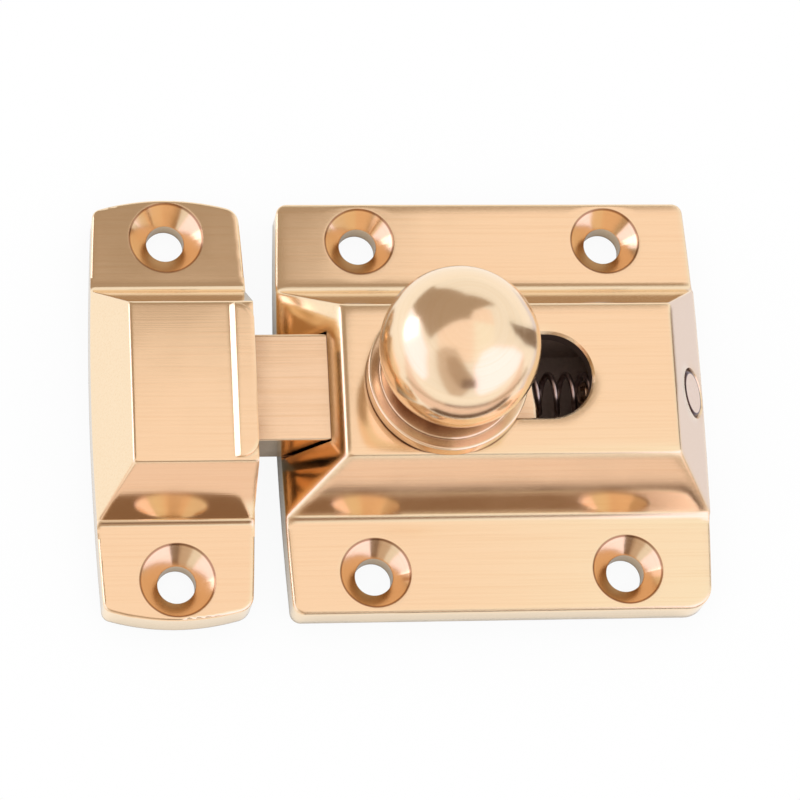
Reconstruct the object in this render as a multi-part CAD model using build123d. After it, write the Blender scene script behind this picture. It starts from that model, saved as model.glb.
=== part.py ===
from build123d import *
from math import radians, tan
import os

# Spring-bolt latch for a cupboard door, in polished brass: a cast, hooded case with a sliding bolt
# under a turned ball knob, and a cast, hooded keeper that receives the bolt.
# Lengths are in millimetres. X runs along the bolt, with the keeper on the -X side, Y runs along
# the edge of the door, and Z stands out of the door. The origin is the middle of the case's back.

# Both castings
flange_thickness = 4.4
hood_height = 9.6
cove_radius = 1.6
edge_round = 0.4
screw_hole_diameter = 4.5
screw_hole_inset = 4.85
countersink_angle = 90

# Case
case_length = 51.2
case_height = 51.0
case_end_bow = 0.8
case_left_slope = 6.8
case_right_slope = 5.3
case_top_height = 18.4
case_side_slope = 5.1
case_left_edge_round = 0.9
case_corner_radius = 1.3
case_worn_corner_radius = 2.8
case_hole_pitch_x = 30.0
case_countersink_diameter = 8.4

# Keeper
keeper_length = 19.0
keeper_height = 52.1
keeper_end_bow = 1.4
keeper_side_bow = 0.8
keeper_gap = 3.1
keeper_slope = 4.1
keeper_top_height = 19.4
keeper_side_slope = 4.8
keeper_countersink_diameter = 8.9
keeper_left_edge_round = 0.5
keeper_left_corner_radius = 1.2
keeper_right_corner_radius = 2.0
keeper_wall = 2.2
mouth_setback = 0.45
lip_width = 2.8
lip_rise = 0.6
lip_corner_radius = 2.0

# Bolt and its travel
bolt_width = 13.0
tongue_thickness = 6.8
bolt_top_level = 11.5
bolt_engagement = 6.5
bolt_tail_length = 11.4
travel = 12.2
nose_length = 4.0
nose_rise = 4.6
slide_clearance = 0.25
tail_clearance = 1.2
shoulder_clearance = 0.05
mouth_clearance = 0.6
bolt_edge_round = 0.3
bolt_tail_corner_radius = 1.2

# Knob
knob_x = -6.9
ball_diameter = 18.5
ball_centre_height = 11.4
collar_step_diameter = 16.4
collar_ledge_width = 1.25
collar_thickness = 2.0
collar_step_height = 0.35
collar_edge_round = 0.3
collar_clearance = 0.3
neck_diameter = 9.6
neck_fillet = 1.3
boss_diameter = 8.0
stud_diameter = 5.0
stud_length = 6.5
stud_clearance = 0.05

# Slot for the knob
slot_clearance = 1.15
slot_offset_y = 0.33
slot_chamfer = 0.3

# Spring and the plug that holds it
spring_axis_level = 7.8
wire_diameter = 0.7
coil_diameter = 4.6
coil_turns = 11
spring_bore_diameter = 5.6
spring_bore_depth = 8.2
spring_bore_mouth_diameter = 10.2
spring_bore_mouth_depth = 1.4
spring_seat_clearance = 0.05
plug_diameter = 6.0
plug_clearance = 0.05
plug_rim_chamfer = 0.5
guide_pin_diameter = 3.0
guide_pin_length = 8.0

# Back plate and its screws
plate_thickness = 1.5
plate_margin_x = 2.8
plate_margin_y = 4.6
plate_corner_radius = 2.0
plate_clearance = 0.1
plate_screw_diameter = 2.0
plate_screw_head = 3.8
plate_screw_length = 6.0
plate_screw_inset = 2.2
plate_screw_end_inset = 6.0
screw_clearance = 0.05
driver_slot_width = 0.5
driver_slot_depth = 0.6

# How far a cutter runs past the face it cuts, and the half size of one that runs past the whole part
overrun = 1.0
beyond = 60.0

# Levels and places that follow
hood_top = flange_thickness + hood_height
case_left = -case_length / 2
case_right = case_length / 2
case_top_left = case_left + case_left_slope
case_top_right = case_right - case_right_slope
keeper_right = case_left - keeper_gap
keeper_centre = keeper_right - keeper_length / 2
keeper_left = keeper_right - keeper_length
case_hole_pitch_y = case_height - 2 * screw_hole_inset
keeper_hole_pitch = keeper_height - 2 * screw_hole_inset
mouth_x = keeper_right - mouth_setback
bolt_tip = mouth_x - bolt_engagement
bolt_tail = knob_x + bolt_tail_length
tongue_level = bolt_top_level - tongue_thickness
body_level = plate_thickness + slide_clearance
chamber_top = bolt_top_level + slide_clearance
chamber_half_width = bolt_width / 2 + slide_clearance
chamber_left = case_left + case_left_slope
chamber_right = bolt_tail + travel + tail_clearance
bore_end = bolt_tail - spring_bore_depth
slot_half_width = boss_diameter / 2 + slot_clearance
collar_level = hood_top + collar_clearance
ball_centre_level = hood_top + ball_centre_height


def bowed_edge(start, middle, end):
    """An edge of a plate: an arc through the middle point, or a line where there is no bow."""
    chord_middle = (Vector(*start) + Vector(*end)) * 0.5
    if (chord_middle - Vector(*middle)).length < 0.001:
        return Line(start, end)
    return ThreePointArc(start, middle, end)


def plate_outline(length, height, bow_x, bow_y, corner_radii):
    """A plate seen from the front, whose ends stand out by bow_x and whose top and bottom by bow_y.

    The radii of its corners go round it from the lower left one.
    """
    x = length / 2 - bow_x
    y = height / 2 - bow_y
    corners = [(-x, -y), (x, -y), (x, y), (-x, y)]
    bows = [(0, -height / 2), (length / 2, 0), (0, height / 2), (-length / 2, 0)]
    ends = corners[1:] + corners[:1]
    face = make_face([bowed_edge(start, bow, end) for start, bow, end in zip(corners, bows, ends)])
    for corner, radius in zip(corners, corner_radii):
        face = fillet(face.vertices().sort_by_distance(Vector(*corner))[0], radius)
    return face


def rounded_profile(points, rounds):
    """A closed profile whose corners, given by their number in the list, are rounded."""
    face = make_face(Polyline(*points, close=True))
    for number, radius in rounds:
        corner = face.vertices().sort_by_distance(Vector(*points[number]))[0]
        face = fillet(corner, radius)
    return face


def end_profile(top_height, slope):
    """Flanges, coves and hood, seen along X."""
    top = top_height / 2
    foot = top + slope
    points = [
        (-beyond, 0), (-beyond, flange_thickness), (-foot, flange_thickness), (-top, hood_top),
        (top, hood_top), (foot, flange_thickness), (beyond, flange_thickness), (beyond, 0),
    ]
    return rounded_profile(points, [(2, cove_radius), (5, cove_radius)])


def slope_x(foot_x, top_x, level):
    """Where a slope that climbs from a plate's edge at foot_x to the hood's top at top_x has a level."""
    return foot_x + (top_x - foot_x) * (level - flange_thickness) / hood_height


def case_side_profile():
    """The case seen along Y: its two ends slope from the plate's edges, here run on past the top."""
    low = flange_thickness - overrun
    high = hood_top + overrun
    points = [
        (slope_x(case_left, case_top_left, low), -overrun), (slope_x(case_left, case_top_left, low), low),
        (slope_x(case_left, case_top_left, high), high), (slope_x(case_right, case_top_right, high), high),
        (slope_x(case_right, case_top_right, low), low), (slope_x(case_right, case_top_right, low), -overrun),
    ]
    return make_face(Polyline(*points, close=True))


def keeper_side_profile():
    """The keeper seen along Y: sloped on the left, and upright at the mouth on the right."""
    low = flange_thickness - overrun
    high = hood_top + overrun
    top_left = keeper_left + keeper_slope
    points = [
        (slope_x(keeper_left, top_left, low), -overrun), (slope_x(keeper_left, top_left, low), low),
        (slope_x(keeper_left, top_left, high), high), (mouth_x, high), (mouth_x, flange_thickness),
        (case_left, flange_thickness), (case_left, -overrun),
    ]
    return make_face(Polyline(*points, close=True))


def at_level(edges, level):
    return edges.filter_by_position(Axis.Z, level - 0.01, level + 0.01)


def along_outline(edges, outline):
    """The edges that run along the top of a plate's sides."""
    rim = outline.face().outer_wire()
    level = edges.filter_by(lambda edge: abs((edge @ 0).Z - (edge @ 1).Z) < 1 and (edge @ 0.5).Z > 1)
    return level.filter_by(lambda edge: rim.distance_to(Vertex((edge @ 0.5).X, (edge @ 0.5).Y, 0)) < 0.01)


def hooded_casting(outline, side_profile, profile, left_edge_round, eased_to):
    """The outside of a casting: its outline under the slopes of its ends and sides.

    The hood's left edge has a round of its own. Its other edges are eased as far right as eased_to.
    """
    body = extrude(outline, hood_top + overrun) & extrude(Plane.YZ * profile, beyond, both=True)
    body = body & extrude(Plane.XZ * side_profile, beyond, both=True)
    body = fillet(at_level(body.edges(), hood_top).sort_by(Axis.X)[0], left_edge_round)
    top = at_level(body.edges(), hood_top).sort_by(Axis.X)[1:]
    hips = body.edges().filter_by(lambda edge: abs((edge @ 0).Z - (edge @ 1).Z) > hood_height / 2)
    edges = ShapeList(top) + hips
    return fillet(edges.filter_by(lambda edge: edge.center().X < eased_to), edge_round)


def countersunk_hole(x, y, countersink):
    """The space of a screw through a flange: a bore under a countersink."""
    depth = (countersink - screw_hole_diameter) / 2 / tan(radians(countersink_angle / 2))
    bore = Pos(x, y, flange_thickness / 2) * Cylinder(screw_hole_diameter / 2, flange_thickness + overrun)
    cone = Pos(x, y, flange_thickness - depth / 2) * Cone(screw_hole_diameter / 2, countersink / 2, depth)
    return bore + cone


def block(x_min, x_max, half_width, z_min, z_max):
    """A box centred on the bolt's line."""
    size = (x_max - x_min, 2 * half_width, z_max - z_min)
    return Pos((x_min + x_max) / 2, 0, (z_min + z_max) / 2) * Box(*size)


def along_x(shape, x, z):
    """Turns a shape made along Z to lie along X, with its base at x and its axis at height z."""
    return Pos(x, 0, z) * Rot(0, 90, 0) * shape


def rod(diameter, length):
    return Cylinder(diameter / 2, length, align=(Align.CENTER, Align.CENTER, Align.MIN))


def slot_shape(half_width, depth):
    """The knob's slot, from the knob's place at rest to its place with the bolt drawn back."""
    middle = knob_x + travel / 2
    outline = SlotOverall(travel + 2 * half_width, 2 * half_width)
    return Pos(middle, slot_offset_y, hood_top - depth) * extrude(outline, depth + overrun)


def plate_screw_places():
    left, right = back_plate_ends()
    y = chamber_half_width + plate_screw_inset
    return [(x, side * y) for x in (left + plate_screw_end_inset, right - plate_screw_end_inset) for side in (-1, 1)]


def back_plate_ends():
    return chamber_left - plate_margin_x, chamber_right + plate_margin_x


def back_plate_outline(clearance):
    left, right = back_plate_ends()
    half_height = chamber_half_width + plate_margin_y
    outline = RectangleRounded(
        right - left + 2 * clearance, 2 * (half_height + clearance), plate_corner_radius + clearance
    )
    return Pos((left + right) / 2, 0) * outline


def case():
    radii = (case_corner_radius, case_worn_corner_radius, case_corner_radius, case_corner_radius)
    outline = plate_outline(case_length, case_height, case_end_bow, 0, radii)
    body = hooded_casting(
        outline,
        case_side_profile(),
        end_profile(case_top_height, case_side_slope),
        case_left_edge_round,
        case_right,
    )
    body = fillet(along_outline(body.edges(), outline), edge_round)
    for x in (-case_hole_pitch_x / 2, case_hole_pitch_x / 2):
        for y in (-case_hole_pitch_y / 2, case_hole_pitch_y / 2):
            body -= countersunk_hole(x, y, case_countersink_diameter)
    body -= block(chamber_left, chamber_right, chamber_half_width, -overrun, chamber_top)
    mouth_level = tongue_level - slide_clearance
    body -= block(case_left - overrun, chamber_left + overrun, chamber_half_width, mouth_level, chamber_top)
    body -= slot_shape(slot_half_width, hood_top - chamber_top + overrun)
    body -= extrude(back_plate_outline(plate_clearance), plate_thickness)
    body -= along_x(rod(plug_diameter + 2 * plug_clearance, beyond), chamber_right - overrun, spring_axis_level)
    for x, y in plate_screw_places():
        depth = plate_screw_length + screw_clearance
        body -= Pos(x, y, 0) * rod(plate_screw_diameter + 2 * screw_clearance, depth)
    rim = slot_shape(slot_half_width, 0)
    return chamfer(at_level(body.edges(), hood_top).filter_by(lambda edge: rim.distance_to(edge) < 0.01), slot_chamfer)


def keeper():
    left, right = keeper_left_corner_radius, keeper_right_corner_radius
    radii = (left, right, right, left)
    outline = plate_outline(keeper_length, keeper_height, keeper_side_bow, keeper_end_bow, radii)
    outline = Pos(keeper_centre, 0) * outline
    profile = end_profile(keeper_top_height, keeper_side_slope)
    body = hooded_casting(outline, keeper_side_profile(), profile, keeper_left_edge_round, mouth_x - lip_width)
    flange_side = keeper_top_height / 2 + keeper_side_slope + cove_radius
    hood = body & block(keeper_left - overrun, case_left, flange_side, 0, hood_top)
    plate = extrude(outline, flange_thickness)
    body = fillet(at_level(plate.edges(), flange_thickness), edge_round) + hood + mouth_lip()
    for y in (-keeper_hole_pitch / 2, keeper_hole_pitch / 2):
        body -= countersunk_hole(keeper_centre, y, keeper_countersink_diameter)
    pocket_left = keeper_left + keeper_slope + keeper_wall
    pocket_half_width = bolt_width / 2 + mouth_clearance
    pocket = block(pocket_left, case_left, pocket_half_width, -overrun, bolt_top_level + mouth_clearance)
    return body - pocket


def mouth_lip():
    """The raised lip along the keeper's mouth, with its two outer corners rounded."""
    top = keeper_top_height / 2 - edge_round
    points = [
        (mouth_x - lip_width, -top), (mouth_x, -top), (mouth_x, top), (mouth_x - lip_width, top),
    ]
    outline = rounded_profile(points, [(1, lip_corner_radius), (2, lip_corner_radius)])
    lip = Pos(0, 0, hood_top - lip_rise) * extrude(outline, 2 * lip_rise)
    return chamfer(at_level(lip.edges(), hood_top + lip_rise).sort_by(Axis.X)[0], lip_rise)


def bolt():
    """A flat tongue with a bevelled nose, and a deeper body behind its shoulder, bored for the spring."""
    half = bolt_width / 2
    shoulder = chamber_left + shoulder_clearance
    side = Polyline(
        (bolt_tip, bolt_top_level), (bolt_tip, tongue_level + nose_rise), (bolt_tip + nose_length, tongue_level),
        (shoulder, tongue_level), (shoulder, body_level), (bolt_tail, body_level), (bolt_tail, bolt_top_level),
        close=True,
    )
    body = extrude(Plane.XZ * make_face(side), half, both=True)
    long_edges = body.edges().filter_by(Axis.X).filter_by(lambda edge: edge.center().Z > tongue_level - 0.01)
    body = fillet(long_edges, bolt_edge_round)
    body = fillet(body.edges().filter_by(Axis.Z).group_by(Axis.X)[-1], bolt_tail_corner_radius)
    body -= along_x(rod(spring_bore_diameter, beyond), bore_end, spring_axis_level)
    body -= along_x(spring_bore_mouth(), bolt_tail - spring_bore_mouth_depth, spring_axis_level)
    tapped = rod(stud_diameter + 2 * stud_clearance, stud_length + stud_clearance + overrun)
    return body - Pos(knob_x, 0, bolt_top_level - stud_length - stud_clearance) * tapped


def spring_bore_mouth():
    """The wide mouth of the bolt's bore, which opens into the bolt's top."""
    small, large = spring_bore_diameter / 2, spring_bore_mouth_diameter / 2
    return Cone(small, large, spring_bore_mouth_depth, align=(Align.CENTER, Align.CENTER, Align.MIN))


def knob():
    """One turned piece: ball, neck, stepped collar, the boss that runs in the slot, and the stud."""
    step = collar_step_diameter / 2
    collar = step + collar_ledge_width
    neck = neck_diameter / 2
    rim_level = collar_level + collar_thickness
    step_level = rim_level + collar_step_height
    points = [
        (0, collar_level), (collar, collar_level), (collar, rim_level), (step, rim_level), (step, step_level),
        (neck, step_level), (neck, ball_centre_level), (0, ball_centre_level),
    ]
    rounds = [(2, collar_edge_round), (4, collar_step_height / 2), (5, neck_fillet)]
    foot = revolve(Plane.XZ * rounded_profile(points, rounds), Axis.Z)
    ball = Pos(0, 0, ball_centre_level) * Sphere(ball_diameter / 2)
    boss = Pos(0, 0, bolt_top_level) * rod(boss_diameter, collar_level - bolt_top_level)
    stud = Pos(0, 0, bolt_top_level - stud_length) * rod(stud_diameter, stud_length)
    return Pos(knob_x, 0, 0) * (foot + ball + boss + stud)


def spring():
    """A compression spring of round wire, between the bottom of the bolt's bore and the plug."""
    length = chamber_right - bore_end - wire_diameter - 2 * spring_seat_clearance
    helix = Helix(length / coil_turns, length, coil_diameter / 2)
    start = helix @ 0
    section = Plane(start, z_dir=helix % 0) * Circle(wire_diameter / 2)
    wire = sweep(section, path=helix, is_frenet=True)
    return along_x(wire, bore_end + wire_diameter / 2 + spring_seat_clearance, spring_axis_level)


def spring_plug():
    """The plug riveted into the end wall, dressed flush with the slope, with its guide pin."""
    pin_end = chamber_right - guide_pin_length
    plug = along_x(rod(plug_diameter, beyond), chamber_right, spring_axis_level)
    plug += along_x(rod(guide_pin_diameter, guide_pin_length + overrun), pin_end, spring_axis_level)
    tip = plug.edges().sort_by(Axis.X)[0]
    plug = chamfer(tip, guide_pin_diameter / 6)
    plug = plug & extrude(Plane.XZ * case_side_profile(), beyond, both=True)
    return chamfer(plug.faces().sort_by(Axis.X)[-1].edges(), plug_rim_chamfer)


def back_plate():
    plate = extrude(back_plate_outline(0), plate_thickness)
    for x, y in plate_screw_places():
        plate -= Pos(x, y, 0) * screw_space()
    return plate


def screw_space():
    """Clearance in the back plate for the shank and the countersunk head of a screw."""
    shank = rod(plate_screw_diameter + 2 * screw_clearance, plate_thickness)
    radius = plate_screw_head / 2 + screw_clearance
    depth = (plate_screw_head - plate_screw_diameter) / 2
    head = Cone(radius, radius - depth, depth, align=(Align.CENTER, Align.CENTER, Align.MIN))
    return shank + head


def plate_screw():
    """A small countersunk screw, head down, with a driver slot."""
    depth = (plate_screw_head - plate_screw_diameter) / 2
    head = Cone(plate_screw_head / 2, plate_screw_diameter / 2, depth, align=(Align.CENTER, Align.CENTER, Align.MIN))
    screw = rod(plate_screw_diameter, plate_screw_length) + head
    slot = Box(plate_screw_head + overrun, driver_slot_width, 2 * driver_slot_depth)
    return screw - slot


def write(name, shape):
    export_step(shape, f"parts/{name}.step")


os.makedirs("parts", exist_ok=True)
write("case", case())
write("keeper", keeper())
write("bolt", bolt())
write("knob", knob())
write("spring", spring())
write("spring_plug", spring_plug())
write("back_plate", back_plate())
for number, (x, y) in enumerate(plate_screw_places(), start=1):
    write(f"back_plate_screw_{number}", Pos(x, y, 0) * plate_screw())
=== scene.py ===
import math
import bmesh
import bpy
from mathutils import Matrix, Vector


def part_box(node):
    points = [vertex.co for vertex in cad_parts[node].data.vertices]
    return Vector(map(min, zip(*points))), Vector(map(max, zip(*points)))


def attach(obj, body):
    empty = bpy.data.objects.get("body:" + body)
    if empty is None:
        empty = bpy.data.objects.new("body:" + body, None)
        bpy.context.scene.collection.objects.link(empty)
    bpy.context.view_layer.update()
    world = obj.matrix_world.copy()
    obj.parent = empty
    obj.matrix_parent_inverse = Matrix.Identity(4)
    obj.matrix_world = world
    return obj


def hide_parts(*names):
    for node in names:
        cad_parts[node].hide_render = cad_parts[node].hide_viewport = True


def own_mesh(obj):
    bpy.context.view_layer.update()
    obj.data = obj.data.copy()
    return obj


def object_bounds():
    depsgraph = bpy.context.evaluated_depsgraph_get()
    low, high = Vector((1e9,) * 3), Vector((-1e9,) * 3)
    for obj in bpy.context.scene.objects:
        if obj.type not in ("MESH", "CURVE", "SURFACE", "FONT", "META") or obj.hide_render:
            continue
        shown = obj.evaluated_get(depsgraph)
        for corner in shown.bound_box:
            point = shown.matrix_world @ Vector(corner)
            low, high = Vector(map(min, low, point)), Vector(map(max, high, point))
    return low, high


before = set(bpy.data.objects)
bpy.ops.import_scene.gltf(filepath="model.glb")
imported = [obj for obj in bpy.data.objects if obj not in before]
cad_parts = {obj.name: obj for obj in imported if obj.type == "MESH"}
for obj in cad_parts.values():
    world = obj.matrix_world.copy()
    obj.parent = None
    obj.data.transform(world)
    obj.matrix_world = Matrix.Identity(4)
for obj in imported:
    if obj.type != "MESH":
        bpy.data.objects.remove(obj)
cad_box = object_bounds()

# A sprung cabinet latch and its keeper, in polished brass. Lengths are in metres, in the latch's own frame:
# X runs along the bolt, Y along the door's edge and Z out of the door.
MM = 0.001

knob_low, knob_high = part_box("knob")
KNOB_X = (knob_low.x + knob_high.x) / 2
plug_low, plug_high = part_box("spring_plug")
PLUG_AXIS = (0, 0, (plug_low.z + plug_high.z) / 2)
PLUG_RADIUS = (plug_high.z - plug_low.z) / 2
keeper_low, keeper_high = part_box("keeper")
KEEPER_MIDDLE = (keeper_low.x + keeper_high.x) / 2
BOLT_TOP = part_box("bolt")[1].z


def linear(hex_colour):
    """An sRGB hex colour as the linear values that Blender's sockets take."""
    values = [int(hex_colour[i:i + 2], 16) / 255 for i in (1, 3, 5)]
    return [v / 12.92 if v <= 0.04045 else ((v + 0.055) / 1.055) ** 2.4 for v in values] + [1.0]


def add_node(tree, kind, settings=(), **inputs):
    """Adds a node with its settings. Each input is a value, or the output socket that feeds it.

    An input goes by its name, with _ for a space, or by its place among the node's inputs, i0 being the first.
    """
    node = tree.nodes.new(kind)
    for name, value in dict(settings).items():
        setattr(node, name, value)
    for name, value in inputs.items():
        socket = node.inputs[int(name[1:])] if name[1:].isdigit() else node.inputs[name.replace("_", " ")]
        if isinstance(value, bpy.types.NodeSocket):
            tree.links.new(value, socket)
        else:
            socket.default_value = value
    return node


def new_material(name):
    material = bpy.data.materials.new(name)
    material.use_nodes = True
    material.node_tree.nodes.clear()
    return material, material.node_tree


# Brass

MARK_RUN = 20 * MM      # the length of one polishing mark
SWELL = 9 * MM          # from one slight swell that the mop leaves to the next
SMEAR = 6 * MM          # the patches in which polish and the painted corner shade lie
SINK_EDGE = 0.3 * MM    # how far the crisp rim of a countersink is eased
SINK_ROUGHNESS = 0.16
SINK_TONE = "#CFA06C"
SINK_TONE_SHARE = 0.3
BURR_INSET = 0.08 * MM
BURR_CORE = 0.05 * MM   # half the width in which the line round a countersink is full
BURR_FADE = 0.18 * MM   # and half the width in which it shows
BURR_SHARE = 0.75


def from_axis(tree, place, point, across):
    """How far places are from an axis through a point, where across is 1 in the two directions off the axis."""
    offset = add_node(tree, "ShaderNodeVectorMath", {"operation": "SUBTRACT"}, i0=place, i1=point)
    flat = add_node(tree, "ShaderNodeVectorMath", {"operation": "MULTIPLY"}, i0=offset.outputs[0], i1=across)
    return add_node(tree, "ShaderNodeVectorMath", {"operation": "LENGTH"}, i0=flat.outputs[0]).outputs[1]


def from_hole(tree, place, middle, x, y):
    """How far places are from the nearest screw hole, in a plate that is the same on both sides of its middle."""
    offset = add_node(tree, "ShaderNodeVectorMath", {"operation": "SUBTRACT"}, i0=place, i1=(middle, 0, 0))
    mirrored = add_node(tree, "ShaderNodeVectorMath", {"operation": "ABSOLUTE"}, i0=offset.outputs[0])
    return from_axis(tree, mirrored.outputs[0], (x, y, 0), (1, 1, 0))


def rings(tree, place, away):
    """Coordinates for tool marks that run in rings round an upright axis."""
    height = add_node(tree, "ShaderNodeSeparateXYZ", i0=place).outputs[2]
    return add_node(tree, "ShaderNodeCombineXYZ", X=0.0, Y=away, Z=height).outputs[0]


def painted_corner_shade(tree, smear, reach, shade_full_at, shade_gone_at):
    """Painted shade: brown in the corners, deepest where a corner is most closed in, laid in patches."""
    corner = add_node(tree, "ShaderNodeAmbientOcclusion", {"samples": 8}, Distance=reach)
    darkening = add_node(
        tree, "ShaderNodeMapRange", i0=corner.outputs["AO"], i1=shade_full_at, i2=shade_gone_at, i3=1.2, i4=0.0
    )
    patchy = add_node(
        tree, "ShaderNodeMath", {"operation": "MULTIPLY", "use_clamp": True}, i0=darkening.outputs[0], i1=smear
    )
    return patchy.outputs[0]


def burr_line(tree, away, radius):
    """The thin dark line of polish caught by the burr at a countersink's rim."""
    off_rim = add_node(tree, "ShaderNodeMath", {"operation": "SUBTRACT"}, i0=away, i1=radius - BURR_INSET)
    off_rim = add_node(tree, "ShaderNodeMath", {"operation": "ABSOLUTE"}, i0=off_rim.outputs[0])
    return add_node(
        tree, "ShaderNodeMapRange", i0=off_rim.outputs[0], i1=BURR_CORE, i2=BURR_FADE, i3=BURR_SHARE, i4=0.0
    ).outputs[0]


def brass(name, colour, streak, shade_and_line_tone, roughness, spacing, mark_depth, wave_depth, rolled, turned=False,
          reach=1.2 * MM, shade_full_at=0.2, shade_gone_at=0.75, holes=None, groove=None):
    """Brass polished with fine marks, which repeat every spacing and draw its reflections out along them.

    The marks run along the bolt, or in rings round the knob if turned. wave_depth is how far the mop has worn
    the surface into swells, and rolled how far it has rolled the edges over. The brown in the corners is painted
    shade: reach is how far out of a corner it comes; it is full where the corner is as closed as shade_full_at,
    and gone where it is as open as shade_gone_at. shade_and_line_tone is the colour of that painted shade and of
    the real dark lines at rims. holes gives the plate's middle, where one of its screw holes is from there, and the
    radius of its countersink. groove gives a rod's axis, the two directions off it, and where its dark rim starts.
    """
    material, tree = new_material(name)
    place = add_node(tree, "ShaderNodeTexCoord").outputs["Object"]
    marks_place = place
    edge = rolled
    if turned:
        marks_place = rings(tree, place, from_axis(tree, place, (KNOB_X, 0, 0), (1, 1, 0)))
    if holes:
        middle, x, y, radius = holes
        away = from_hole(tree, place, middle, x, y)
        sunk = add_node(tree, "ShaderNodeMath", {"operation": "LESS_THAN"}, i0=away, i1=radius).outputs[0]
        edge = add_node(
            tree, "ShaderNodeMapRange", i0=away, i1=radius + 0.1 * MM, i2=radius + 1.5 * MM, i3=SINK_EDGE, i4=rolled
        ).outputs[0]
        marks_place = add_node(
            tree, "ShaderNodeMix", {"data_type": "VECTOR"}, i0=sunk, i4=place, i5=rings(tree, place, away)
        ).outputs[1]
    scaled = add_node(tree, "ShaderNodeMapping", i0=marks_place, Scale=(1 / MARK_RUN, 1 / spacing, 1 / spacing))
    marks = add_node(
        tree, "ShaderNodeTexNoise", i0=scaled.outputs[0], Scale=1.0, Detail=3.0, Roughness=0.6
    ).outputs[0]
    swells = add_node(tree, "ShaderNodeTexNoise", i0=place, Scale=1 / SWELL, Detail=1.0, Roughness=0.4).outputs[0]
    smear = add_node(tree, "ShaderNodeTexNoise", i0=place, Scale=1 / SMEAR, Detail=4.0, Roughness=0.6).outputs[0]

    streaky = add_node(tree, "ShaderNodeMapRange", i0=marks, i1=0.45, i2=0.8, i3=0.0, i4=1.0)
    bare = add_node(
        tree, "ShaderNodeMix", {"data_type": "RGBA"}, i0=streaky.outputs[0], i6=linear(colour), i7=linear(streak)
    ).outputs[2]
    rough = add_node(
        tree, "ShaderNodeMapRange", i0=smear, i1=0.3, i2=0.7, i3=roughness * 0.85, i4=roughness * 1.15
    ).outputs[0]
    # Brown painted shade in the corners. The real dark lines at a plug's joint and a countersink's burr join it below.
    shade_and_lines = painted_corner_shade(tree, smear, reach, shade_full_at, shade_gone_at)
    if groove:
        axis, across, start = groove
        rim = add_node(
            tree, "ShaderNodeMapRange", i0=from_axis(tree, place, axis, across), i1=start, i2=start + 0.1 * MM,
            i3=0.0, i4=1.0,
        )
        shade_and_lines = add_node(tree, "ShaderNodeMath", {"operation": "MAXIMUM"}, i0=shade_and_lines, i1=rim.outputs[0]).outputs[0]
    if holes:
        dull = add_node(tree, "ShaderNodeMath", {"operation": "MULTIPLY"}, i0=sunk, i1=SINK_TONE_SHARE)
        bare = add_node(
            tree, "ShaderNodeMix", {"data_type": "RGBA"}, i0=dull.outputs[0], i6=bare, i7=linear(SINK_TONE)
        ).outputs[2]
        rough = add_node(
            tree, "ShaderNodeMix", {"data_type": "FLOAT"}, i0=sunk, i2=rough, i3=SINK_ROUGHNESS
        ).outputs[0]
        shade_and_lines = add_node(
            tree, "ShaderNodeMath", {"operation": "MAXIMUM"}, i0=shade_and_lines, i1=burr_line(tree, away, radius)
        ).outputs[0]
    tone = add_node(tree, "ShaderNodeMix", {"data_type": "RGBA"}, i0=shade_and_lines, i6=bare, i7=linear(shade_and_line_tone))

    sharp = add_node(tree, "ShaderNodeNewGeometry").outputs["Normal"]
    soft = add_node(tree, "ShaderNodeBevel", {"samples": 6}, Radius=edge).outputs[0]
    eased = add_node(tree, "ShaderNodeMix", {"data_type": "VECTOR"}, i0=0.4, i4=sharp, i5=soft)
    waves = add_node(
        tree, "ShaderNodeBump", Strength=1.0, Distance=wave_depth, Height=swells, Normal=eased.outputs[1]
    )
    scratches = add_node(
        tree, "ShaderNodeBump", Strength=1.0, Distance=mark_depth, Height=marks, Normal=waves.outputs[0]
    )
    shader = add_node(
        tree, "ShaderNodeBsdfPrincipled", Base_Color=tone.outputs[2], Metallic=1.0, Roughness=rough,
        Normal=scratches.outputs[0],
    )
    add_node(tree, "ShaderNodeOutputMaterial", Surface=shader.outputs[0])
    return material


# Brass castings, mopped along the bolt: pale, warm gold with clear reflections that smear a little along the
# marks, soft bright lines on the rolled edges, brown painted shade in the coves, and duller, ringed countersinks.
# The mop's marks are really finer than 0.1 mm. They are drawn 0.25 mm apart, so that they show in the render.
CASE_BRASS = brass(
    "polished_case_casting", "#F6DDBA", "#F3D6B0", "#84522A", roughness=0.11, spacing=0.25 * MM,
    mark_depth=0.0012 * MM, wave_depth=0.02 * MM, rolled=2 * MM, holes=(0, 15 * MM, 20.65 * MM, 4.2 * MM),
)
KEEPER_BRASS = brass(
    "polished_keeper_casting", "#F6DDBA", "#F3D6B0", "#84522A", roughness=0.1, spacing=0.25 * MM,
    mark_depth=0.0012 * MM, wave_depth=0.02 * MM, rolled=0.8 * MM,
    holes=(KEEPER_MIDDLE, 0, 21.2 * MM, 4.45 * MM),
)
# Brass bar, ground on a belt: an even, satin gold with fine lines along it, and brown painted shade towards the case's
# mouth.
BAR_BRASS = brass(
    "linished_brass_bar", "#F6DCBC", "#EFCFA8", "#8A5A34", roughness=0.14, spacing=0.3 * MM,
    mark_depth=0.002 * MM, wave_depth=0.01 * MM, rolled=0.3 * MM, reach=4 * MM, shade_full_at=0.3, shade_gone_at=0.85,
)
# The same bar as a plug, ground flush with the wall: satin, in a thin dark ring where polish fills its joint.
PLUG_BRASS = brass(
    "linished_brass_plug", "#F6DCBC", "#EFCFA8", "#4A2C20", roughness=0.14, spacing=0.3 * MM,
    mark_depth=0.002 * MM, wave_depth=0.01 * MM, rolled=0.3 * MM,
    groove=(PLUG_AXIS, (0, 1, 1), PLUG_RADIUS - 0.7 * MM),
)
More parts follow.
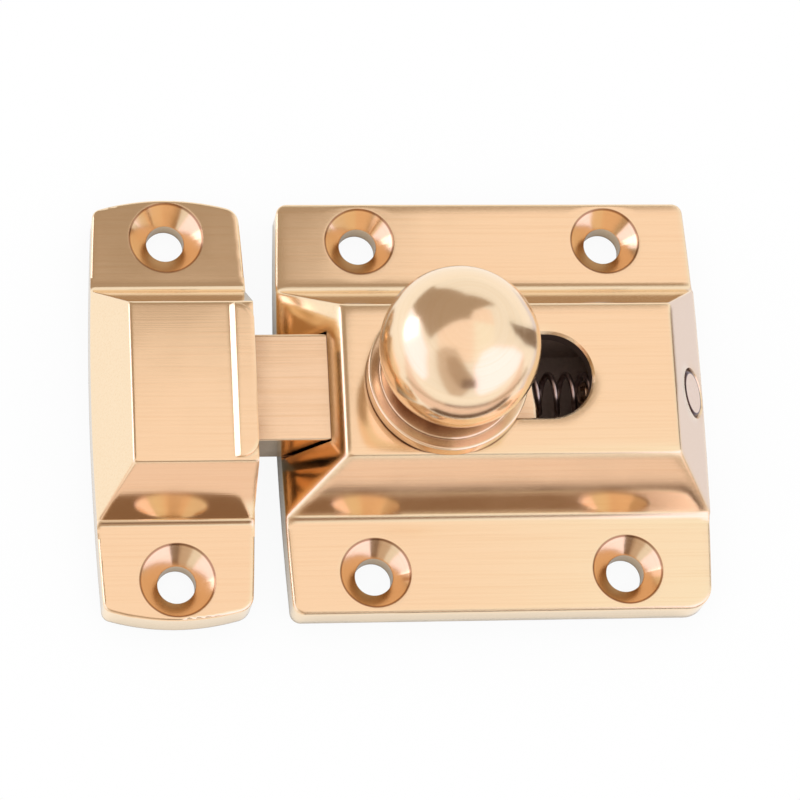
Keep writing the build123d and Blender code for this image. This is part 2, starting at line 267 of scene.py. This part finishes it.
# Turned brass, buffed on the lathe: round, slightly soft reflections, and copper-brown painted shade in neck and steps.
TURNED_BRASS = brass(
    "buffed_turned_brass", "#F6DDBC", "#F4D8B4", "#7A4424", roughness=0.18, spacing=0.25 * MM,
    mark_depth=0.0005 * MM, wave_depth=0.006 * MM, rolled=0.4 * MM, turned=True,
    reach=6 * MM, shade_full_at=0.5, shade_gone_at=0.9,
)
# Rolled brass sheet, never polished: a dull yellow-brown that blurs all it reflects.
SHEET_BRASS = brass(
    "rolled_brass_sheet", "#D8B888", "#C8A470", "#5A4030", roughness=0.35, spacing=0.3 * MM,
    mark_depth=0.003 * MM, wave_depth=0.02 * MM, rolled=0.3 * MM,
)


GRIT = 0.5 * MM
PIT_DEPTH = 0.05 * MM


def skin_and_shade_inside(material, low, high, dark, light):
    """The skin that a core leaves: dark, matt and gritty, in the box from low to high, where no mop reaches; its tone
    runs from dark to light, and a darker pair of tones paints shade.
    """
    tree = material.node_tree
    output = next(node for node in tree.nodes if node.type == "OUTPUT_MATERIAL")
    polished = output.inputs["Surface"].links[0].from_socket
    place = add_node(tree, "ShaderNodeTexCoord").outputs["Object"]
    centre = [(a + b) / 2 for a, b in zip(low, high)]
    half = [(b - a) / 2 for a, b in zip(low, high)]
    offset = add_node(tree, "ShaderNodeVectorMath", {"operation": "SUBTRACT"}, i0=place, i1=centre)
    away = add_node(tree, "ShaderNodeVectorMath", {"operation": "ABSOLUTE"}, i0=offset.outputs[0])
    parts = add_node(tree, "ShaderNodeSeparateXYZ", i0=away.outputs[0])
    inside = 1.0
    for axis in range(3):
        within = add_node(tree, "ShaderNodeMath", {"operation": "LESS_THAN"}, i0=parts.outputs[axis], i1=half[axis])
        inside = add_node(
            tree, "ShaderNodeMath", {"operation": "MULTIPLY"}, i0=inside, i1=within.outputs[0]
        ).outputs[0]
    grit = add_node(tree, "ShaderNodeTexNoise", i0=place, Scale=1 / GRIT, Detail=4.0)
    tone = add_node(
        tree, "ShaderNodeMix", {"data_type": "RGBA"}, i0=grit.outputs[0], i6=linear(dark), i7=linear(light)
    )
    pitted = add_node(tree, "ShaderNodeBump", Strength=1.0, Distance=PIT_DEPTH, Height=grit.outputs[0])
    matt_skin = add_node(
        tree, "ShaderNodeBsdfPrincipled", Base_Color=tone.outputs[2], Roughness=0.6, Normal=pitted.outputs[0]
    )
    mix = add_node(tree, "ShaderNodeMixShader", i0=inside, i1=polished, i2=matt_skin.outputs[0])
    tree.links.new(mix.outputs[0], output.inputs["Surface"])


# The case's chamber, the walls of its slot, and the face of the back plate that closes the chamber,
# each as the lowest and highest corner of a box round it.
CHAMBER_BACK = 1.4 * MM
CHAMBER = (-19.4 * MM, -7.4 * MM, CHAMBER_BACK), (18 * MM, 7.4 * MM, BOLT_TOP + 0.3 * MM)
SLOT_WALLS = (-12.4 * MM, -5.2 * MM, 11 * MM), (10.8 * MM, 5.8 * MM, 13.65 * MM)
PLATE_FACE = (-30 * MM, -20 * MM, CHAMBER_BACK), (30 * MM, 20 * MM, 3 * MM)
skin_and_shade_inside(CASE_BRASS, *CHAMBER, "#8A7266", "#A89286")
# The slot's walls get a darker copy of the chamber's skin: painted shade on walls that the light from above reaches.
skin_and_shade_inside(CASE_BRASS, *SLOT_WALLS, "#3A2A24", "#524038")
skin_and_shade_inside(SHEET_BRASS, *PLATE_FACE, "#8A7266", "#A89286")


def spring_wire():
    """Oiled, drawn spring steel: dark between the turns, with one hard glint along each."""
    material, tree = new_material("oiled_spring_wire")
    place = add_node(tree, "ShaderNodeTexCoord").outputs["Object"]
    darkening = add_node(tree, "ShaderNodeTexNoise", i0=place, Scale=1 / (0.8 * MM), Detail=3.0)
    tone = add_node(
        tree, "ShaderNodeMix", {"data_type": "RGBA"}, i0=darkening.outputs[0], i6=linear("#E8DCDC"), i7=linear("#8A7070")
    )
    shader = add_node(
        tree, "ShaderNodeBsdfPrincipled", Base_Color=tone.outputs[2], Metallic=1.0, Roughness=0.28
    )
    add_node(tree, "ShaderNodeOutputMaterial", Surface=shader.outputs[0])
    return material


SPRING_STEEL = spring_wire()

# The back plate and its screws, which no eye sees in use, have the look of plain sheet.
FINISHES = {
    "case": CASE_BRASS, "keeper": KEEPER_BRASS, "bolt": BAR_BRASS, "knob": TURNED_BRASS,
    "spring_plug": PLUG_BRASS, "spring": SPRING_STEEL,
}
for name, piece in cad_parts.items():
    piece.data.materials.clear()
    piece.data.materials.append(FINISHES.get(name, SHEET_BRASS))


# The spring

WIRE_RADIUS = 0.35 * MM
TURNS = 11
CLOSED_TURNS = 1.0                    # at each end, where the turns lie side by side
CLOSED_PITCH = 2.1 * WIRE_RADIUS
STEPS_IN_A_TURN = 48
SIDES_OF_THE_WIRE = 12


def wound_spring():
    """The spring, wound with closed ends in the space that the plain helix holds."""
    low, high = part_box("spring")
    coil_radius = (high.z - low.z) / 2 - WIRE_RADIUS
    start, end = low.x + WIRE_RADIUS, high.x - WIRE_RADIUS
    centre_z = (low.z + high.z) / 2
    closed_length = CLOSED_PITCH * CLOSED_TURNS
    last = TURNS * STEPS_IN_A_TURN
    path = []
    for i in range(last + 1):
        turn = i / STEPS_IN_A_TURN
        if turn < CLOSED_TURNS:
            x = start + CLOSED_PITCH * turn
        elif turn > TURNS - CLOSED_TURNS:
            x = end - CLOSED_PITCH * (TURNS - turn)
        else:
            share = (turn - CLOSED_TURNS) / (TURNS - 2 * CLOSED_TURNS)
            x = start + closed_length + share * (end - start - 2 * closed_length)
        angle = 2 * math.pi * turn
        path.append(Vector((x, coil_radius * math.cos(angle), centre_z + coil_radius * math.sin(angle))))
    sides = SIDES_OF_THE_WIRE
    verts, faces = [], []
    for i, point in enumerate(path):
        tangent = (path[min(i + 1, last)] - path[max(i - 1, 0)]).normalized()
        out = Vector((0, point.y, point.z - centre_z)).normalized()
        side = tangent.cross(out).normalized()
        for j in range(sides):
            angle = 2 * math.pi * j / sides
            verts.append(point + WIRE_RADIUS * (math.cos(angle) * out + math.sin(angle) * side))
    for i in range(last):
        for j in range(sides):
            k = (j + 1) % sides
            faces.append((i * sides + j, i * sides + k, (i + 1) * sides + k, (i + 1) * sides + j))
    faces.append(tuple(reversed(range(sides))))
    faces.append(tuple(last * sides + j for j in range(sides)))
    mesh = bpy.data.meshes.new("wound_spring")
    mesh.from_pydata(verts, [], faces)
    mesh.update()
    fix = bmesh.new()
    fix.from_mesh(mesh)
    bmesh.ops.recalc_face_normals(fix, faces=fix.faces)
    fix.to_mesh(mesh)
    fix.free()
    for face in mesh.polygons:
        face.use_smooth = True
    mesh.materials.append(SPRING_STEEL)
    obj = bpy.data.objects.new("wound_spring", mesh)
    bpy.context.scene.collection.objects.link(obj)
    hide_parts("spring")
    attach(obj, "latch_case")
    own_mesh(obj)


wound_spring()


# The camera, where the photograph was taken from

CAMERA_PLACE = Vector((-75.909, -144.461, 446.546)) * MM
CAMERA_TURNS = (18.3814, -7.3882, -2.9331)
CAMERA_LENS = 178.09
camera_data = bpy.data.cameras.new("camera")
camera_data.lens = CAMERA_LENS
camera_data.clip_start = 0.01
camera = bpy.data.objects.new("camera", camera_data)
camera.location = CAMERA_PLACE
camera.rotation_euler = [math.radians(turn) for turn in CAMERA_TURNS]
bpy.context.scene.collection.objects.link(camera)
bpy.context.scene.camera = camera


# The studio. Cards round the latch give it the windows and walls that it reflects in the photograph.

FLOOR_LEVEL = cad_box[0].z
CARD_DISTANCE = 0.7
CARD_LIFT = 0.2 * MM              # how far the cards on the table lie above it
UPPER_CARD_LIFT = 0.3 * MM        # for one that lies on another
BAND_LIFT = 0.4 * MM
BAND_RADII = (66 * MM, 82 * MM)
BAND_STEPS = 12
CEILING_HEIGHT = 0.9
CEILING_HALF = 0.75
TABLE_HALF = 0.4
SHADE_SEEN = 0.93                 # how bright the table is to the eye in the latch's deepest shade
SHADE_REACH = 25 * MM
TABLE_PAINT = "#F4F4F4"


def light_level(name, colour, strength):
    material, tree = new_material(name)
    glow = add_node(tree, "ShaderNodeEmission", Color=linear(colour), Strength=strength)
    add_node(tree, "ShaderNodeOutputMaterial", Surface=glow.outputs[0])
    return material


def unseen(name, mesh, material):
    """A card that shows in reflections alone, and throws no shadow."""
    mesh.materials.append(material)
    obj = bpy.data.objects.new(name, mesh)
    obj.visible_camera = False
    obj.visible_shadow = False
    obj.visible_diffuse = False
    bpy.context.scene.collection.objects.link(obj)


def hang(name, corners, material):
    """A card of any outline, filled in from its middle."""
    mesh = bpy.data.meshes.new(name)
    middle = sum(corners, Vector()) / len(corners)
    count = len(corners)
    mesh.from_pydata(corners + [middle], [], [(i, (i + 1) % count, count) for i in range(count)])
    unseen(name, mesh, material)


def card(name, colour, corners, strength=1.0, distance=CARD_DISTANCE):
    """A card round the latch. Its corners are azimuths and elevations in degrees, as the knob sees them."""
    points = []
    for azimuth, elevation in corners:
        azimuth, elevation = math.radians(azimuth), math.radians(elevation)
        points.append(Vector((
            distance * math.cos(azimuth) * math.cos(elevation),
            distance * math.sin(azimuth) * math.cos(elevation),
            distance * math.sin(elevation) + knob_high.z,
        )))
    hang(name, points, light_level(name, colour, strength))


def table_card(name, colour, corners, lift=CARD_LIFT, strength=1.0):
    """A card that lies on the table. Its corners are X and Y in millimetres."""
    points = [Vector((x * MM, y * MM, lift)) for x, y in corners]
    hang(name, points, light_level(name, colour, strength))


def table_band(name, colour, start, end):
    """A band on the table, in an arc round the knob from one azimuth to another."""
    turns = [math.radians(start + (end - start) * i / BAND_STEPS) for i in range(BAND_STEPS + 1)]
    verts = [(KNOB_X + r * math.cos(turn), r * math.sin(turn), BAND_LIFT) for turn in turns for r in BAND_RADII]
    mesh = bpy.data.meshes.new(name)
    mesh.from_pydata(verts, [], [(2 * i, 2 * i + 1, 2 * i + 3, 2 * i + 2) for i in range(BAND_STEPS)])
    unseen(name, mesh, light_level(name, colour, 1.0))


def ceiling():
    """A warm ceiling, paler towards the front on the right."""
    material, tree = new_material("ceiling")
    place = add_node(tree, "ShaderNodeTexCoord").outputs["Object"]
    parts = add_node(tree, "ShaderNodeSeparateXYZ", i0=place)
    to_right = add_node(
        tree, "ShaderNodeMapRange", {"interpolation_type": "SMOOTHSTEP"}, i0=parts.outputs[0],
        i1=0.1, i2=0.24, i3=0.0, i4=1.0,
    )
    to_front = add_node(
        tree, "ShaderNodeMapRange", {"interpolation_type": "SMOOTHSTEP"}, i0=parts.outputs[1],
        i1=0.285, i2=0.235, i3=0.0, i4=1.0,
    )
    pale = add_node(tree, "ShaderNodeMath", {"operation": "MULTIPLY"}, i0=to_right.outputs[0], i1=to_front.outputs[0])
    tone = add_node(
        tree, "ShaderNodeMix", {"data_type": "RGBA"}, i0=pale.outputs[0], i6=linear("#FFEEE5"), i7=linear("#FFFFFA")
    )
    glow = add_node(tree, "ShaderNodeEmission", Color=tone.outputs[2], Strength=1.05)
    add_node(tree, "ShaderNodeOutputMaterial", Surface=glow.outputs[0])
    corners = [Vector((x * CEILING_HALF, y * CEILING_HALF, CEILING_HEIGHT))
               for x, y in ((-1, -1), (1, -1), (1, 1), (-1, 1))]
    hang("ceiling", corners, material)


def table():
    """A white table, which only the latch's own shade darkens. Brass and the eye see it at a level of its own."""
    material, tree = new_material("white_table")
    path = add_node(tree, "ShaderNodeLightPath")
    mirrored = add_node(
        tree, "ShaderNodeMath", {"operation": "MAXIMUM"}, i0=path.outputs["Is Glossy Ray"],
        i1=path.outputs["Is Transmission Ray"],
    )
    shown = add_node(
        tree, "ShaderNodeMath", {"operation": "MAXIMUM"}, i0=path.outputs["Is Camera Ray"], i1=mirrored.outputs[0]
    )
    shade = add_node(tree, "ShaderNodeAmbientOcclusion", {"samples": 8}, Distance=SHADE_REACH).outputs["AO"]
    to_the_eye = add_node(tree, "ShaderNodeMapRange", i0=shade, i1=0.0, i2=1.0, i3=SHADE_SEEN, i4=1.0)
    to_the_brass = add_node(tree, "ShaderNodeMapRange", i0=shade, i1=0.05, i2=0.7, i3=0.08, i4=1.06)
    level = add_node(
        tree, "ShaderNodeMix", {"data_type": "FLOAT"}, i0=path.outputs["Is Camera Ray"],
        i2=to_the_brass.outputs[0], i3=to_the_eye.outputs[0],
    )
    white = add_node(tree, "ShaderNodeEmission", Color=(1, 1, 1, 1), Strength=level.outputs[0])
    paint = add_node(tree, "ShaderNodeBsdfDiffuse", Color=linear(TABLE_PAINT))
    mix = add_node(tree, "ShaderNodeMixShader", i0=shown.outputs[0], i1=paint.outputs[0], i2=white.outputs[0])
    add_node(tree, "ShaderNodeOutputMaterial", Surface=mix.outputs[0])
    mesh = bpy.data.meshes.new("table")
    corners = [(x * TABLE_HALF, y * TABLE_HALF, 0) for x, y in ((-1, -1), (1, -1), (1, 1), (-1, 1))]
    mesh.from_pydata(corners, [], [(0, 1, 2, 3)])
    mesh.materials.append(material)
    obj = bpy.data.objects.new("table", mesh)
    obj.location = (0, 0, FLOOR_LEVEL)
    bpy.context.scene.collection.objects.link(obj)


table()
card("left_window", "#F0E8FF", [
    (128, -47), (134, -10), (156, 22), (-163, 29), (-138, 6), (-141, -14), (-161, -31), (170, -36), (143, -45),
], strength=1.6)
card("left_window_pane", "#F4EEFF", [(148, 0), (150, 17), (172, 20), (174, -2), (160, -7)], strength=2.6, distance=0.45)
card("right_window", "#F0E8FF", [
    (-25, 49), (-8, 18), (-6, -10), (-16, -19), (-45, -14), (-66, -12), (-77, 5), (-76, 39), (-51, 55),
], strength=1.6)
card("dark_wall_behind", "#B3A08E", [
    (127, -41), (134, -6), (156, 24), (-178, 38), (142, 64), (110, 69), (84, 69.3), (77, 68.3), (74.5, 66), (70, 55),
    (46, 26), (85, 30), (110, 4), (109, -20), (120, -31),
])
card("dark_wall_right", "#8C7A6C", [(23, 22), (18, 8), (22, -30), (8, -25), (3, -7), (9, 15)])
card("pale_wall_front", "#D8C6B8", [
    (-155, 41), (-150, 55), (-125, 63), (-103, 54), (-88, 38), (-84, 8), (-92, -6), (-106, -4), (-131, 22),
])
card("dark_wall_front", "#BCA694", [
    (-133, 46), (-119, 53), (-103, 48), (-89, 38), (-80, 27), (-78, 9), (-98, 11), (-120, 31),
], distance=0.55)
card("dark_wall_low", "#8C766A", [(-76, 9), (-76, 22), (-95, 24), (-95, 9)], distance=0.5)
ceiling()
table_band("pale_band_left", "#CEB8AA", -155, -106)
table_band("dark_band", "#907971", -106, -61)
table_band("pale_band_right", "#B8A290", -61, -12)
table_card("warm_table_front", "#FBE3DA", [(-400, -75), (400, -75), (400, -33), (-400, -33)])
table_card("cool_table_right", "#DBDAE7", [(29, -20), (50, -20), (50, 45), (29, 45)], strength=1.2)
# A dark sheet on the table in front of the latch: painted shade of the latch, seen only in reflections.
table_card("painted_shade_front", "#5A4434", [(-24, -40.8), (34, -40.8), (34, -30), (-24, -30)], UPPER_CARD_LIFT)
# A dark sheet on the table to the right of the case: painted shade, seen only in reflections.
table_card("painted_shade_right", "#8C7A6C", [(39.6, 6.5), (382, 20), (364, 120), (36.7, 17.6)], UPPER_CARD_LIFT)

world = bpy.data.worlds.new("white_studio")
world.use_nodes = True
world.node_tree.nodes.clear()
sky = add_node(world.node_tree, "ShaderNodeBackground", Color=(1, 1, 1, 1), Strength=1.0)
add_node(world.node_tree, "ShaderNodeOutputWorld", Surface=sky.outputs[0])
bpy.context.scene.world = world
bpy.context.scene.view_settings.view_transform = "Standard"
